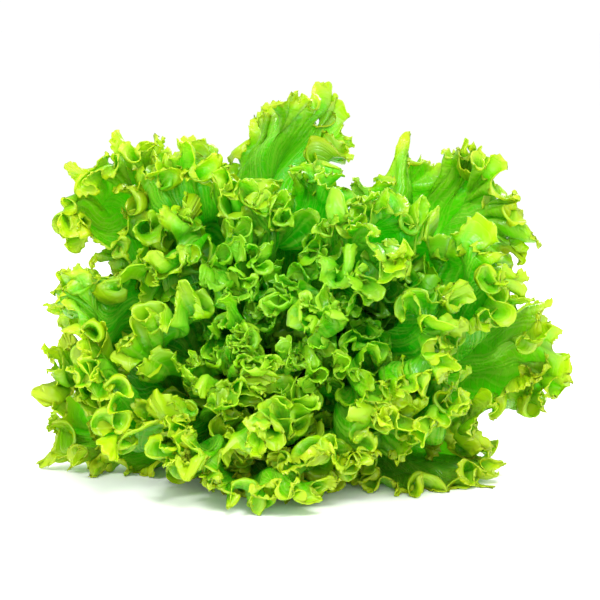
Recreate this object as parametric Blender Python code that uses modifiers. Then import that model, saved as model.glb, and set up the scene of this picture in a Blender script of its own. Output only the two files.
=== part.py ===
"""Green leaf lettuce: one cut head lying on its side, leaf tips towards -Y, cut stem at +Y.

Every leaf is a frilled sheet on its own layer of the head. The layers run from the axis (layer 0) to the
outermost leaf (layer 1) and never meet, so leaves that wave inside their own share of layers stay clear of
each other. Lengths are in metres and angles in radians.
"""

import math
import random
from dataclasses import dataclass

import bmesh
import bpy
import numpy as np

# The head as it lies: where the cut end of the stem is, and how far the axis tips up towards the viewer.
STEM_CUT = (-0.01309, 0.07723, 0.028)
AXIS_TILT = math.radians(25)
AXIS = np.array([0.0, -math.cos(AXIS_TILT), math.sin(AXIS_TILT)])
UP_SIDE = np.array([0.0, math.sin(AXIS_TILT), math.cos(AXIS_TILT)])
RIGHT_SIDE = np.array([1.0, 0.0, 0.0])
CUT_CENTRE = np.array(STEM_CUT)

# The stem: a short stout stalk, widest just above the cut and tapering to the growing tip.
STEM_LENGTH = 0.068
STEM_PROFILE = (
    (0.0, 0.0140),
    (0.0015, 0.0152),
    (0.011, 0.0158),
    (0.028, 0.0145),
    (0.047, 0.0105),
    (0.063, 0.0050),
)
STEM_SIDES = 20
OUTER_ROOT = 0.013
INNER_ROOT = 0.064
ROOT_GAP = 0.0006

# How the layers open: wide at the root, then along the axis again in the bowl of the head, while the layers
# outside the bowl bend right back.
OPEN_ROOT = math.radians(86)
OPEN_BOWL = math.radians(32)
OPEN_OUTSIDE = math.radians(72)
OUTSIDE_FROM = 0.74
OPEN_REACH = 0.172
# The layers under the head are pressed together on the surface that it lies on.
PRESSED_OUTER = 0.93
PRESSED_STACK = 0.064
PRESSED_EASE = 0.048
PRESSED_BLEND = 0.09
PATH_STEPS = 20
# Waves that neighbouring leaves share round the head, from a little way out of the root.
RIPPLE = 0.05
RIPPLE_FULL = 0.3
RIPPLE_FROM = 0.03
RIPPLE_EASE = 0.07
RIPPLES_ROUND = 15
# The whole head sways a little out of true, but not at the stem and not where it rests.
HEAD_SWAY = 0.0075
SWAY_CLEAR = 0.10
SWAY_HEIGHT = 0.06
SWAY_WAVE = 0.031
# All leaves are crumpled together by waves across each other, so that they nest.
CRUMPLE_WAVE = 0.080
CRUMPLE_HEIGHT = 0.009
CRUMPLE_FROM = 0.02
CRUMPLE_EASE = 0.09
CRUMPLE_LIFT = 0.10

# One leaf laid flat, as shares of its own length and half width.
STALK_INNER = 0.0040
STALK_OUTER = 0.0110
WAIST = 0.56
LOBE_LOW = 0.33
RIM_TURN = math.radians(122)
WRAP_LIMIT = math.radians(72)

# Blade and midrib thickness.
BLADE = 0.0008
RIB_OUTER = 0.0024
RIB_INNER = 0.0012
RIB_END = 0.72

# The cage that each leaf is shaped from: rows out from the stalk, and the frill's rows split finer.
CAGE_PER_WAVE = 0.6
CAGE_ROWS = (0.0, 0.34, 0.60, 0.80, 1.0)
CAGE_SPLITS = (0.30, 0.57, 0.78)


@dataclass
class Leaf:
    """One leaf: where it grows, how big it is and how its edge is frilled."""

    name: str
    turn: float
    layer: float
    length: float
    half_width: float
    waves: int
    frill_band: float
    sweep: float
    seed: int


# The outer leaves, which draw the outline: name, degrees clockwise from the top, layer, length, half width.
OUTER_LEAVES = (
    ("leaf_01_top", 7, 1.000, 0.194, 0.060),
    ("leaf_02_right_floor", 117, 0.970, 0.170, 0.052),
    ("leaf_03_top_right", 34, 0.940, 0.212, 0.064),
    ("leaf_04_left_floor", -114, 0.910, 0.152, 0.053),
    ("leaf_05_right", 87, 0.880, 0.172, 0.054),
    ("leaf_06_left", -86, 0.850, 0.164, 0.056),
    ("leaf_07_front_floor", 180, 0.820, 0.150, 0.053),
    ("leaf_08_upper_left", -33, 0.802, 0.205, 0.060),
)
# The leaves inside them follow the plant's own golden angle towards the heart.
INNER_COUNT = 27
INNER_FIRST_TURN = -74.3
HEART_FROM = 23
GOLDEN_ANGLE = 137.508
INNER_LAYERS = (0.742, 0.06)
INNER_LENGTHS = (0.190, 0.128)
INNER_WIDTHS = (0.052, 0.026)
WAVE_LENGTH_OUTER = 0.034
WAVE_LENGTH_INNER = 0.023
# The frill: the share of the leaf that it takes, how far its crests and the slower sway bend, and how much
# the crests swell along the rim.
FRILL_SHARE = 0.32
FRILL_BEND = math.radians(72)
FLARE_BEND = math.radians(40)
SWAY_BEND = math.radians(30)
SWELL = 0.14
RISE_SHARE = 0.62
LEAF_SWEEP = math.radians(14)
# How much of the gap to the next layer a leaf may wave in, and how far past a leaf's edge that gap counts.
GAP_SHARE = 0.34
OPEN_ROOM = 0.12
TALLEST_CREST = 0.018
EDGE_SPARE = 0.008
EDGE_EASE = 0.014
SEED = 21
# The leaf whose frill would fold through itself with the seed of its place takes another one.
OTHER_SEEDS = {"leaf_30_inner": 44}


def clear_scene():
    for old in list(bpy.data.objects):
        bpy.data.objects.remove(old)


def finish(name, colour, roughness):
    """A Principled material of one colour."""
    made = bpy.data.materials.new(name)
    made.use_nodes = True
    shader = made.node_tree.nodes["Principled BSDF"]
    shader.inputs["Base Color"].default_value = (*colour, 1.0)
    shader.inputs["Roughness"].default_value = roughness
    shader.inputs["Metallic"].default_value = 0.0
    made.diffuse_color = (*colour, 1.0)
    return made


def ease_in(value):
    """A smooth step from 0 to 1."""
    value = np.clip(value, 0, 1)
    return value * value * (3 - 2 * value)


def stem_radius(along):
    """The stem's radius at a distance along it from the cut."""
    distances, radii = zip(*STEM_PROFILE)
    return np.interp(along, distances, radii)


def ripple(layer, out, turn):
    """Waves that all leaves share, so that they nest: how far the layers shift at a point."""
    grown = RIPPLE * ease_in(layer / RIPPLE_FULL) * ease_in((out - RIPPLE_FROM) / RIPPLE_EASE)
    phase = RIPPLES_ROUND * turn + 1.3 * np.sin(3 * turn + 1) + 6.5 * layer + 26 * out
    return grown * (np.sin(phase) + 0.5 * np.sin(0.6 * phase + 5 * turn))


def crumpled(points, out):
    """The head's points moved by three waves across each other, which crumple the leaves without a crossing."""
    x, y, z = (points - CUT_CENTRE).T
    held = ease_in((out - CRUMPLE_FROM) / CRUMPLE_EASE) * ease_in(points[:, 2] / CRUMPLE_LIFT)
    k, height = 2 * math.pi / CRUMPLE_WAVE, CRUMPLE_HEIGHT * held
    x = x + height * np.sin(k * (0.8 * z + 0.6 * y) + 0.7)
    y = y + height * np.sin(k * (0.75 * x - 0.65 * z) + 2.1)
    z = z + height * np.sin(k * (0.7 * x + 0.7 * y) + 4.0)
    return np.stack([x, y, z], -1) + CUT_CENTRE


def place_on_layer(layer, out, turn):
    """Points of the head: out metres from the root along a layer, at a turn clockwise from the top.

    Each point's path leaves the stem and opens by its layer. Where it would sink towards the surface that
    the head lies on, it eases to run along it, the outermost layer lowest.
    """
    layer = layer + ripple(layer, out, turn)
    side_z = np.cos(turn) * UP_SIDE[2]
    steepest = np.hypot(AXIS[2], side_z)
    level = np.arctan2(side_z, AXIS[2])
    along = INNER_ROOT + (OUTER_ROOT - INNER_ROOT) * layer
    around = stem_radius(along) + ROOT_GAP
    pressed_to = (PRESSED_OUTER - layer) * PRESSED_STACK
    step = out / PATH_STEPS
    outside = ease_in((layer - OUTSIDE_FROM) / (1 - OUTSIDE_FROM))
    tip = OPEN_BOWL + (OPEN_OUTSIDE - OPEN_BOWL) * outside
    for i in range(PATH_STEPS):
        share = ease_in((i + 0.5) * step / OPEN_REACH)
        free = layer * (OPEN_ROOT + (tip - OPEN_ROOT) * share)
        height = CUT_CENTRE[2] + along * AXIS[2] + around * side_z
        sink = np.clip((height - pressed_to) / PRESSED_EASE / steepest, -1, 1)
        pressed = level + np.arccos(-sink)
        slack = np.clip((free - pressed) / PRESSED_BLEND, -30, 30)
        lie = free - PRESSED_BLEND * np.logaddexp(0, slack)
        along = along + np.cos(lie) * step
        around = around + np.sin(lie) * step
    side = np.cos(turn)[:, None] * UP_SIDE + np.sin(turn)[:, None] * RIGHT_SIDE
    points = CUT_CENTRE + along[:, None] * AXIS + around[:, None] * side
    x, y, z = points.T
    sway = HEAD_SWAY * ease_in(out / SWAY_CLEAR) * ease_in(z / SWAY_HEIGHT)
    x, y = (x - CUT_CENTRE[0]) / SWAY_WAVE, (y - CUT_CENTRE[1]) / SWAY_WAVE
    z = z / SWAY_WAVE
    bent = np.stack([np.sin(z + 0.6 * y), np.sin(0.9 * x + 0.7 * z), np.sin(x + 0.6 * y + 2)])
    return crumpled(points + (sway * bent).T, out), around


def stalk_half_width(leaf):
    return STALK_INNER + (STALK_OUTER - STALK_INNER) * leaf.layer


def laid_flat(leaf, across, out):
    """Where points of a leaf lie before it is curved or frilled: x across the midrib, y out from the root."""
    turn = across * RIM_TURN
    waist = WAIST * leaf.length
    high = (leaf.length - waist) * np.cos(turn)
    low = (waist - LOBE_LOW * leaf.length) * np.cos(turn) / abs(math.cos(RIM_TURN))
    rim_x = leaf.half_width * np.sin(turn)
    rim_y = waist + np.where(np.cos(turn) > 0, high, low)
    root_x = stalk_half_width(leaf) * across
    pull_x, pull_y = 1.25 * root_x, 0.52 * rim_y
    x = (1 - out) ** 2 * root_x + 2 * out * (1 - out) * pull_x + out**2 * rim_x
    y = 2 * out * (1 - out) * pull_y + out**2 * rim_y
    return x, y, np.hypot(rim_x - root_x, rim_y)


def frill(leaf, across, depth):
    """How the edge curls: the rise off the leaf, the draw back from the rim and the swell along it."""
    draw = random.Random(leaf.seed)
    lean = [draw.uniform(0, 2 * math.pi) for _ in range(6)]
    phase = math.pi * leaf.waves * across + lean[0]
    phase = phase + 0.9 * np.sin(2.3 * across + lean[1]) + 0.6 * np.sin(5.7 * across + lean[2])
    strength = 0.95 + 0.2 * np.sin(4.1 * across + lean[3]) + 0.12 * np.sin(9.7 * across + lean[4])
    crest = np.cos(phase) * strength
    sway = np.cos(phase / 3.3 + lean[5])
    inside = np.clip(1 - depth / leaf.frill_band, 0, None)
    rise, back = np.zeros_like(across), np.zeros_like(across)
    steps = 10
    for i in range(steps):
        share = (i + 0.5) / steps * inside
        length = inside * leaf.frill_band / steps
        full = FRILL_BEND * share + FLARE_BEND * ease_in(4 * share - 3)
        bend = crest * full + sway * SWAY_BEND * share
        usual = 0.72 * full
        rise += np.sin(bend) * length
        back += (1 - (0.2 * np.cos(bend) + 0.8 * np.cos(usual))) * length
    wave = 2 * RIM_TURN * leaf.half_width / leaf.waves
    swell = SWELL * wave * np.sin(2 * phase) * inside**1.6
    return rise, back, swell


def half_width_at(leaf, y):
    """The most that a leaf reaches to each side at a distance y from its root, never less than it does."""
    waist, low = WAIST * leaf.length, LOBE_LOW * leaf.length
    above = np.clip((y - waist) / (leaf.length - waist), 0, 1)
    below = np.clip(y / low, 0, 1)
    return leaf.half_width * np.where(y > waist, np.sqrt(1 - above**2), 0.2 + 0.8 * below)


def midrib_turn(leaf, y):
    """The turn of a leaf's midrib, which sweeps to one side towards the tip."""
    return math.radians(leaf.turn) + leaf.sweep * ease_in(y / leaf.length)


def room_to_wave(leaf, leaves, turn, y):
    """How far, in layers, a leaf may wave at each point before the leaves that lie over or under it."""
    room = np.full_like(y, OPEN_ROOM)
    levels = np.linspace(0, 0.21, 22)
    for other in leaves:
        if other is leaf:
            continue
        centre = midrib_turn(other, y)
        _, around = place_on_layer(np.full_like(levels, other.layer), levels, midrib_turn(other, levels))
        around = np.interp(y, levels, around)
        reach = WRAP_LIMIT * np.tanh(half_width_at(other, y) / around / WRAP_LIMIT)
        apart = np.abs(np.mod(turn - centre + math.pi, 2 * math.pi) - math.pi)
        beside = (apart - reach) * around - EDGE_SPARE
        beyond = y - other.length - EDGE_SPARE
        clear = ease_in(np.maximum(beside, beyond) / EDGE_EASE)
        gap = GAP_SHARE * abs(leaf.layer - other.layer)
        room = np.minimum(room, gap + OPEN_ROOM * clear)
    return room


def leaf_points(leaf, leaves, across, out):
    """The leaf's sheet in place on the head, for points across (-1 to 1) and out (0 root to 1 rim)."""
    nudge = 1e-3
    x, y, column = laid_flat(leaf, across, out)
    x_out, y_out, _ = laid_flat(leaf, across, out + nudge)
    x_side, y_side, _ = laid_flat(leaf, across + nudge, out)
    outward = np.stack([x_out - x, y_out - y])
    outward /= np.linalg.norm(outward, axis=0) + 1e-12
    sideways = np.stack([x_side - x, y_side - y])
    sideways /= np.linalg.norm(sideways, axis=0) + 1e-12
    rise, back, swell = frill(leaf, across, (1 - out) * column)
    x = x - back * outward[0] + swell * sideways[0]
    y = np.clip(y - back * outward[1] + swell * sideways[1], 0, None)
    layer = np.full_like(x, leaf.layer)
    turn = midrib_turn(leaf, y)
    _, around = place_on_layer(layer, y, turn)
    wrap = WRAP_LIMIT * np.tanh(x / np.maximum(around, 0.004) / WRAP_LIMIT)
    turn = turn + wrap
    above, _ = place_on_layer(layer + 0.01, y, turn)
    below, _ = place_on_layer(layer - 0.01, y, turn)
    spread = np.linalg.norm(above - below, axis=1) / 0.02
    room = np.minimum(room_to_wave(leaf, leaves, turn, y), TALLEST_CREST / spread)
    tallest = RISE_SHARE * leaf.frill_band / np.maximum(spread, 1e-3)
    drift = rise / np.maximum(spread, 1e-3) / (1 + (tallest / room) ** 4) ** 0.25
    points, _ = place_on_layer(layer - drift, y, turn)
    return points


def thickness_of(leaf, across, out):
    """The leaf's thickness: a stout midrib at the root thinning to the blade."""
    x, _, _ = laid_flat(leaf, across, out)
    rib = RIB_INNER + (RIB_OUTER - RIB_INNER) * leaf.layer
    fade = np.clip(1 - out / RIB_END, 0, 1)
    over_rib = np.exp(-((x / (0.75 * stalk_half_width(leaf))) ** 2))
    return BLADE + (rib - BLADE) * fade * over_rib


def leaf_cage(columns):
    """A sheet in leaf coordinates, x across and y out, with the frilled edge split finer."""
    cage = bmesh.new()
    bmesh.ops.create_grid(cage, x_segments=columns, y_segments=len(CAGE_ROWS) - 1, size=1.0)
    for vert in cage.verts:
        row = round((vert.co.y + 1) / 2 * (len(CAGE_ROWS) - 1))
        vert.co.y = CAGE_ROWS[row]
    for split in CAGE_SPLITS:
        beyond = [e for e in cage.edges if all(v.co.y > split for v in e.verts)]
        edges = [e for e in beyond if abs(e.verts[0].co.x - e.verts[1].co.x) > 1e-6]
        bmesh.ops.subdivide_edges(cage, edges=edges, cuts=1, use_grid_fill=False)
    bmesh.ops.triangulate(cage, faces=cage.faces[:])
    return cage


def add_leaf(leaf, leaves, material, collection):
    """One leaf: the cage moved to the leaf's sheet, given its thickness outwards from the axis."""
    mesh = bpy.data.meshes.new(leaf.name)
    cage = leaf_cage(max(4, round(CAGE_PER_WAVE * leaf.waves)))
    cage.to_mesh(mesh)
    cage.free()
    flat = np.array([v.co[:] for v in mesh.vertices])
    across, out = flat[:, 0], flat[:, 1]
    thick = thickness_of(leaf, across, out)
    points = leaf_points(leaf, leaves, across, out)
    points[:, 2] = np.maximum(points[:, 2], thick)
    mesh.vertices.foreach_set("co", points.astype(np.float32).ravel())
    mesh.materials.append(material)
    made = bpy.data.objects.new(leaf.name, mesh)
    collection.objects.link(made)
    stoutest = float(thick.max())
    weights = made.vertex_groups.new(name="thickness")
    for index, value in enumerate(thick):
        weights.add([index], float(value) / stoutest, "REPLACE")
    shell = made.modifiers.new("Thickness", "SOLIDIFY")
    shell.thickness = stoutest
    shell.offset = -1.0
    shell.vertex_group = weights.name
    shell.thickness_vertex_group = 0.0
    mesh.shade_smooth()
    return made


def add_stem(material, collection):
    """The stem, turned from its profile round the head's axis."""
    mesh = bpy.data.meshes.new("stem")
    outline = [(0.0, 0.0, STEM_LENGTH)]
    outline += [(radius, 0.0, along) for along, radius in reversed(STEM_PROFILE)]
    outline += [(0.0, 0.0, 0.0)]
    mesh.from_pydata(outline, [(i, i + 1) for i in range(len(outline) - 1)], [])
    mesh.materials.append(material)
    made = bpy.data.objects.new("stem", mesh)
    collection.objects.link(made)
    turned = made.modifiers.new("Turned", "SCREW")
    turned.steps = turned.render_steps = STEM_SIDES
    turned.use_merge_vertices = True
    turned.merge_threshold = 0.0001
    made.location = CUT_CENTRE
    made.rotation_euler = (math.radians(90) - AXIS_TILT, 0.0, 0.0)
    return made


def inner_leaves():
    """The leaves inside the outline, from the largest to the heart, a golden angle apart."""
    rng = random.Random(SEED)
    grown = []
    for i in range(INNER_COUNT):
        share = i / (INNER_COUNT - 1)

        def between(pair):
            return pair[0] + (pair[1] - pair[0]) * share

        name = f"leaf_{i + len(OUTER_LEAVES) + 1:02d}_inner"
        turn = INNER_FIRST_TURN + i * GOLDEN_ANGLE + rng.uniform(-6, 6)
        length = between(INNER_LENGTHS) * rng.uniform(0.95, 1.05)
        grown.append((name, turn, between(INNER_LAYERS), length, between(INNER_WIDTHS)))
    return grown


def all_leaves():
    """Every leaf with the size of its frill."""
    leaves = []
    for index, (name, turn, layer, length, half_width) in enumerate([*OUTER_LEAVES, *inner_leaves()]):
        wave = WAVE_LENGTH_INNER + (WAVE_LENGTH_OUTER - WAVE_LENGTH_INNER) * layer
        waves = round(RIM_TURN * (half_width + (1 - WAIST) * length) / wave)
        band = FRILL_SHARE * length
        sweep = random.Random(SEED + index).uniform(-LEAF_SWEEP, LEAF_SWEEP)
        seed = OTHER_SEEDS.get(name, SEED + index)
        leaves.append(Leaf(name, turn, layer, length, half_width, waves, band, sweep, seed))
    return leaves


def main():
    clear_scene()
    collection = bpy.data.collections.new("green_leaf_lettuce")
    bpy.context.scene.collection.children.link(collection)
    outer = finish("outer_leaf", (0.20, 0.50, 0.03), 0.35)
    middle = finish("middle_leaf", (0.26, 0.56, 0.03), 0.35)
    heart = finish("heart_leaf", (0.36, 0.62, 0.05), 0.35)
    add_stem(finish("stem", (0.80, 0.82, 0.55), 0.5), collection)
    leaves = all_leaves()
    for index, leaf in enumerate(leaves):
        green = outer if index < len(OUTER_LEAVES) else middle if index < HEART_FROM else heart
        add_leaf(leaf, leaves, green, collection)


main()
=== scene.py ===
import math
import random
from dataclasses import dataclass

import bpy
import numpy as np
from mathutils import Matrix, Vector


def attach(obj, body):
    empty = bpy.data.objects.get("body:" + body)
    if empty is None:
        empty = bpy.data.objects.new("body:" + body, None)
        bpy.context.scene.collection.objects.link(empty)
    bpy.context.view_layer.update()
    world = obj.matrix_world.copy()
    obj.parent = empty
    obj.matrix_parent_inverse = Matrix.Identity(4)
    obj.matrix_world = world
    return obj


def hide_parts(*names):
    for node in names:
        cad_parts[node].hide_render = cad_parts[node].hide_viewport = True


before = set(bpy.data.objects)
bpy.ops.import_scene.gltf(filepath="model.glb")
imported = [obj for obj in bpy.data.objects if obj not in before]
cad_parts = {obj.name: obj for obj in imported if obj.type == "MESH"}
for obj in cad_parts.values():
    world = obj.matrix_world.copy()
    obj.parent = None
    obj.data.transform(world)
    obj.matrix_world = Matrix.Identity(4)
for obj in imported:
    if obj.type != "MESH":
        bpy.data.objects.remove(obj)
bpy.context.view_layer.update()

# The camera stands in front of the head and a little above it, and looks at the middle of the head through a
# long lens, with no depth of field. Lengths are in metres throughout, apart from the lens in millimetres.
CAMERA_AIM = Vector((-0.0023, 0.0, 0.1075))
CAMERA_HEIGHT = math.radians(8.5)
CAMERA_AWAY = 1.325
CAMERA_LENS = 128


def add_object(name, data):
    """A new object in the scene."""
    made = bpy.data.objects.new(name, data)
    bpy.context.scene.collection.objects.link(made)
    return made


camera_data = bpy.data.cameras.new("camera")
camera_data.lens = CAMERA_LENS
camera = add_object("camera", camera_data)
towards_camera = Vector((0.0, -math.cos(CAMERA_HEIGHT), math.sin(CAMERA_HEIGHT)))
camera.location = CAMERA_AIM + towards_camera * CAMERA_AWAY
camera.rotation_euler = (-towards_camera).to_track_quat("-Z", "Y").to_euler()
bpy.context.scene.camera = camera

# The floor is a plain matt white sheet, far wider than the picture. The light is a white room and four soft
# lamps: a large one high in front, a small one at the upper left for the wet gleams, one behind that shines
# through the upper leaves, and a weak one over the camera that reaches into the cups.
FLOOR_REACH = 12.0
FLOOR_WHITE = (0.98, 0.98, 0.98, 1.0)
FLOOR_ROUGHNESS = 0.9
FLOOR_GLOSS = 0.1
ROOM_WHITE = (1.0, 1.0, 1.0, 1.0)
ROOM_BRIGHTNESS = 1.04
# Each lamp's name, its place, the point of the head that it looks at, its width and its power in watts.
LAMPS = (
    ("key", (0.15, -0.75, 0.95), (0.0, 0.0, 0.11), 0.45, 10),
    ("gleam", (-0.75, -0.45, 0.75), (0.0, 0.0, 0.13), 0.14, 5),
    ("through", (0.25, 0.80, 0.70), (0.0, 0.02, 0.15), 0.50, 12),
    ("front", (0.05, -1.35, 0.45), (0.0, 0.0, 0.09), 0.60, 7),
)


def add_lamp(name, place, aim, width, power):
    """A square soft lamp that looks at a point of the head."""
    lamp = bpy.data.lights.new(name, "AREA")
    lamp.shape = "SQUARE"
    lamp.size = width
    lamp.energy = power
    holder = add_object(name, lamp)
    holder.location = place
    holder.rotation_euler = (Vector(aim) - Vector(place)).to_track_quat("-Z", "Y").to_euler()


def new_material(name):
    """A material, its tree of nodes and its skin."""
    made = bpy.data.materials.new(name)
    made.use_nodes = True
    return made, made.node_tree, made.node_tree.nodes["Principled BSDF"]


floor_corners = [(FLOOR_REACH * x, FLOOR_REACH * y, 0) for x, y in ((-1, -1), (1, -1), (1, 1), (-1, 1))]
floor_mesh = bpy.data.meshes.new("floor")
floor_mesh.from_pydata(floor_corners, [], [(0, 1, 2, 3)])
floor = add_object("floor", floor_mesh)
floor_paint, _, floor_skin = new_material("floor_white")
floor_skin.inputs["Base Color"].default_value = FLOOR_WHITE
floor_skin.inputs["Roughness"].default_value = FLOOR_ROUGHNESS
floor_skin.inputs["Specular IOR Level"].default_value = FLOOR_GLOSS
floor_mesh.materials.append(floor_paint)

room = bpy.data.worlds.new("white_room")
room.use_nodes = True
room_light = room.node_tree.nodes["Background"]
room_light.inputs["Color"].default_value = ROOM_WHITE
room_light.inputs["Strength"].default_value = ROOM_BRIGHTNESS
bpy.context.scene.world = room
bpy.context.scene.view_settings.view_transform = "Standard"
for lamp_settings in LAMPS:
    add_lamp(*lamp_settings)

# How the head is built: it lies on its side with the cut stem at the back. Its leaves wrap the stem in layers
# from the outermost (1) to the axis (0), and the layers never meet. The numbers of the head and of a leaf are
# those that the plain solids are made with, apart from the thinner blade and the wider gap.
CUT_CENTRE = np.array([-0.01309, 0.07723, 0.028])
AXIS_TILT = math.radians(25)
AXIS = np.array([0.0, -math.cos(AXIS_TILT), math.sin(AXIS_TILT)])
UP_SIDE = np.array([0.0, math.sin(AXIS_TILT), math.cos(AXIS_TILT)])
RIGHT_SIDE = np.array([1.0, 0.0, 0.0])
# The stem's radius at distances from the cut.
STEM_PROFILE = (
    (0.0, 0.0140),
    (0.0015, 0.0152),
    (0.011, 0.0158),
    (0.028, 0.0145),
    (0.047, 0.0105),
    (0.063, 0.0050),
)
OUTER_ROOT = 0.013
INNER_ROOT = 0.064
ROOT_GAP = 0.0006
# How far the outermost leaf leans away from the axis, and how the floor presses the low leaves flat.
OPEN_ROOT = math.radians(86)
OPEN_BOWL = math.radians(32)
OPEN_OUTSIDE = math.radians(72)
OUTSIDE_FROM = 0.74
OPEN_REACH = 0.172
PRESSED_OUTER = 0.93
PRESSED_STACK = 0.064
PRESSED_EASE = 0.048
PRESSED_BLEND = 0.09
PATH_STEPS = 20
# The ripples, the sway and the crumples that all leaves share.
RIPPLE = 0.05
RIPPLE_FULL = 0.3
RIPPLE_FROM = 0.03
RIPPLE_EASE = 0.07
RIPPLES_ROUND = 15
RIPPLE_LEAN = 1.3
RIPPLE_A_LAYER = 6.5
RIPPLE_A_METRE = 26
HEAD_SWAY = 0.0075
SWAY_CLEAR = 0.10
SWAY_HEIGHT = 0.06
SWAY_WAVE = 0.031
CRUMPLE_WAVE = 0.080
CRUMPLE_HEIGHT = 0.009
CRUMPLE_FROM = 0.02
CRUMPLE_EASE = 0.09
CRUMPLE_LIFT = 0.10


def ease_in(value):
    """A smooth step from 0 to 1."""
    value = np.clip(value, 0, 1)
    return value * value * (3 - 2 * value)


def stem_radius(along):
    """The stem's radius at a distance along it from the cut."""
    distances, radii = zip(*STEM_PROFILE)
    return np.interp(along, distances, radii)


def ripple(layer, out, turn):
    """Waves that all leaves share, so that they nest: how far the layers shift at a point."""
    grown = RIPPLE * ease_in(layer / RIPPLE_FULL) * ease_in((out - RIPPLE_FROM) / RIPPLE_EASE)
    phase = RIPPLES_ROUND * turn + RIPPLE_LEAN * np.sin(3 * turn + 1)
    phase = phase + RIPPLE_A_LAYER * layer + RIPPLE_A_METRE * out
    return grown * (np.sin(phase) + 0.5 * np.sin(0.6 * phase + 5 * turn))


def crumpled(points, out):
    """Points moved by three waves across each other, which crumple the leaves without a crossing."""
    x, y, z = (points - CUT_CENTRE).T
    held = ease_in((out - CRUMPLE_FROM) / CRUMPLE_EASE) * ease_in(points[:, 2] / CRUMPLE_LIFT)
    k, height = 2 * math.pi / CRUMPLE_WAVE, CRUMPLE_HEIGHT * held
    x = x + height * np.sin(k * (0.8 * z + 0.6 * y) + 0.7)
    y = y + height * np.sin(k * (0.75 * x - 0.65 * z) + 2.1)
    z = z + height * np.sin(k * (0.7 * x + 0.7 * y) + 4.0)
    return np.stack([x, y, z], -1) + CUT_CENTRE


def place_on_layer(layer, out, turn):
    """Points of the head, out metres from the root along a layer, at a turn clockwise from the top."""
    layer = layer + ripple(layer, out, turn)
    side_z = np.cos(turn) * UP_SIDE[2]
    steepest = np.hypot(AXIS[2], side_z)
    level = np.arctan2(side_z, AXIS[2])
    along = INNER_ROOT + (OUTER_ROOT - INNER_ROOT) * layer
    around = stem_radius(along) + ROOT_GAP
    pressed_to = (PRESSED_OUTER - layer) * PRESSED_STACK
    step = out / PATH_STEPS
    outside = ease_in((layer - OUTSIDE_FROM) / (1 - OUTSIDE_FROM))
    tip = OPEN_BOWL + (OPEN_OUTSIDE - OPEN_BOWL) * outside
    for i in range(PATH_STEPS):
        share = ease_in((i + 0.5) * step / OPEN_REACH)
        free = layer * (OPEN_ROOT + (tip - OPEN_ROOT) * share)
        height = CUT_CENTRE[2] + along * AXIS[2] + around * side_z
        sink = np.clip((height - pressed_to) / PRESSED_EASE / steepest, -1, 1)
        pressed = level + np.arccos(-sink)
        slack = np.clip((free - pressed) / PRESSED_BLEND, -30, 30)
        lie = free - PRESSED_BLEND * np.logaddexp(0, slack)
        along = along + np.cos(lie) * step
        around = around + np.sin(lie) * step
    side = np.cos(turn)[:, None] * UP_SIDE + np.sin(turn)[:, None] * RIGHT_SIDE
    points = CUT_CENTRE + along[:, None] * AXIS + around[:, None] * side
    x, y, z = points.T
    sway = HEAD_SWAY * ease_in(out / SWAY_CLEAR) * ease_in(z / SWAY_HEIGHT)
    x, y = (x - CUT_CENTRE[0]) / SWAY_WAVE, (y - CUT_CENTRE[1]) / SWAY_WAVE
    z = z / SWAY_WAVE
    bent = np.stack([np.sin(z + 0.6 * y), np.sin(0.9 * x + 0.7 * z), np.sin(x + 0.6 * y + 2)])
    return crumpled(points + (sway * bent).T, out), around


# One leaf: a broad thin crisp blade on a pale stalk. Its edge has grown longer than its middle, so it stands
# in big cups and trumpets, and it waves only as far as the leaves over and under it leave it room.
STALK_INNER = 0.0040
STALK_OUTER = 0.0110
WAIST = 0.56
LOBE_LOW = 0.33
RIM_TURN = math.radians(122)
WRAP_LIMIT = math.radians(72)
BLADE = 0.0005
RIB_OUTER = 0.0024
RIB_INNER = 0.0012
RIB_END = 0.72
RIB_SPREAD = 0.75
FRILL_STEPS = 10
FRILL_BEND = math.radians(72)
FLARE_BEND = math.radians(40)
SWAY_BEND = math.radians(30)
SWELL = 0.14
RISE_SHARE = 0.62
GAP_SHARE = 0.70
OPEN_ROOM = 0.12
TALLEST_CREST = 0.018
LONGEST_LEAF = 0.21
PLACES_ALONG = 22
NEAREST_AXIS = 0.004
EDGE_SPARE = 0.008
EDGE_EASE = 0.014
NUDGE = 1e-3
LAYER_NUDGE = 0.01


@dataclass
class Leaf:
    """One leaf: where it grows, how big it is and how its edge is frilled."""

    name: str
    turn: float
    layer: float
    length: float
    half_width: float
    waves: int
    frill_band: float
    sweep: float
    seed: int


def stalk_half_width(leaf):
    """Half the width of a leaf's stalk where it leaves the stem."""
    return STALK_INNER + (STALK_OUTER - STALK_INNER) * leaf.layer


def laid_flat(leaf, across, out):
    """Where a leaf's points lie while it is flat: x across the midrib and y out from the root."""
    turn = across * RIM_TURN
    waist = WAIST * leaf.length
    high = (leaf.length - waist) * np.cos(turn)
    low = (waist - LOBE_LOW * leaf.length) * np.cos(turn) / abs(math.cos(RIM_TURN))
    rim_x = leaf.half_width * np.sin(turn)
    rim_y = waist + np.where(np.cos(turn) > 0, high, low)
    root_x = stalk_half_width(leaf) * across
    pull_x, pull_y = 1.25 * root_x, 0.52 * rim_y
    x = (1 - out) ** 2 * root_x + 2 * out * (1 - out) * pull_x + out**2 * rim_x
    y = 2 * out * (1 - out) * pull_y + out**2 * rim_y
    return x, y, np.hypot(rim_x - root_x, rim_y)


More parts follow.
